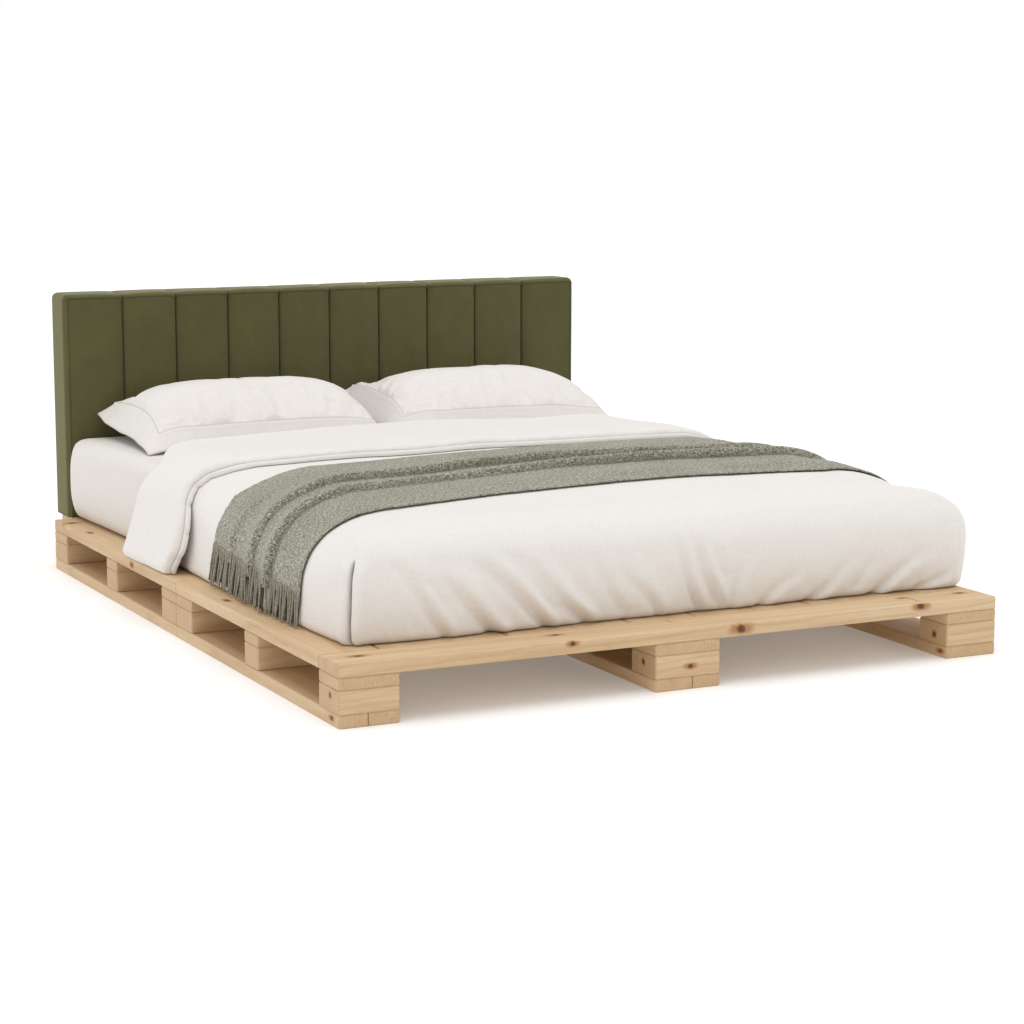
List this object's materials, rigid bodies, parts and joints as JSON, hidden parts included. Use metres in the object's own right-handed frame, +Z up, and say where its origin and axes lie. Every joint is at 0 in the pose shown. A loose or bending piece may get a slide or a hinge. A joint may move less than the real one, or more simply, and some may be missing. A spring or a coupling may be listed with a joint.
{
  "type": "pallet bed with padded headboard",
  "caption": "Low pine pallet-style double bed with a channelled olive headboard on posts, mattress, duvet folded back in a band, fringed throw and pillows.",
  "frame": {"origin": "on the floor, under the middle of the whole bed, headboard included", "axes": "+X across the bed to the right as seen from the foot, +Y from the foot to the headboard, +Z up"},
  "size_m": [1.75, 2.28, 0.796],
  "materials": {
    "pine": "clear matt oil on planed pine",
    "frame_timber": "bare softwood and ply",
    "olive_cloth": "short velvet pile",
    "lining_cloth": "plain black dust cloth",
    "sheet_cloth": "washed cotton fitted sheet",
    "duvet_cloth": "washed cotton duvet cover",
    "throw_wool": "loosely woven wool",
    "pillow_cloth": "washed cotton pillow case with a flange"
  },
  "bodies": {
    "base": {"foot_left_runner": "pine", "foot_left_end_block": "pine", "foot_left_mid_block": "pine", "foot_left_seam_block": "pine", "foot_left_end_pad": "pine", "foot_middle_runner": "pine", "foot_middle_end_block": "pine", "foot_middle_mid_block": "pine", "foot_middle_seam_block": "pine", "foot_middle_end_pad": "pine", "foot_right_runner": "pine", "foot_right_end_block": "pine", "foot_right_mid_block": "pine", "foot_right_seam_block": "pine", "foot_right_end_pad": "pine", "foot_mid_stringer": "pine", "foot_seam_stringer": "pine", "foot_end_board": "pine", "foot_left_side_board": "pine", "foot_bay_1_board": "pine", "foot_bay_2_board": "pine", "foot_middle_board": "pine", "foot_bay_3_board": "pine", "foot_bay_4_board": "pine", "foot_right_side_board": "pine", "head_left_runner": "pine", "head_left_end_block": "pine", "head_left_mid_block": "pine", "head_left_seam_block": "pine", "head_left_end_pad": "pine", "head_middle_runner": "pine", "head_middle_end_block": "pine", "head_middle_mid_block": "pine", "head_middle_seam_block": "pine", "head_middle_end_pad": "pine", "head_right_runner": "pine", "head_right_end_block": "pine", "head_right_mid_block": "pine", "head_right_seam_block": "pine", "head_right_end_pad": "pine", "head_mid_stringer": "pine", "head_seam_stringer": "pine", "head_end_board": "pine", "head_left_side_board": "pine", "head_bay_1_board": "pine", "head_bay_2_board": "pine", "head_middle_board": "pine", "head_bay_3_board": "pine", "head_bay_4_board": "pine", "head_right_side_board": "pine", "headboard_post_left": "pine", "headboard_post_right": "pine", "headboard_frame": "frame_timber", "headboard_pad": "olive_cloth", "headboard_back_cloth": "lining_cloth"},
    "mattress_set": {"mattress": "sheet_cloth", "duvet": "duvet_cloth", "throw": "throw_wool"},
    "pillow_left": {"pillow_left": "pillow_cloth"},
    "pillow_right": {"pillow_right": "pillow_cloth"}
  },
  "joints": [
    {"name": "mattress_lift", "type": "slide", "parent": "base", "child": "mattress_set", "axis": [0, 0, 1], "range_m": [0, 0.3]},
    {"name": "pillow_left_lift", "type": "slide", "parent": "mattress_set", "child": "pillow_left", "axis": [0, 0, 1], "range_m": [0, 0.25]},
    {"name": "pillow_right_lift", "type": "slide", "parent": "mattress_set", "child": "pillow_right", "axis": [0, 0, 1], "range_m": [0, 0.25]}
  ]
}
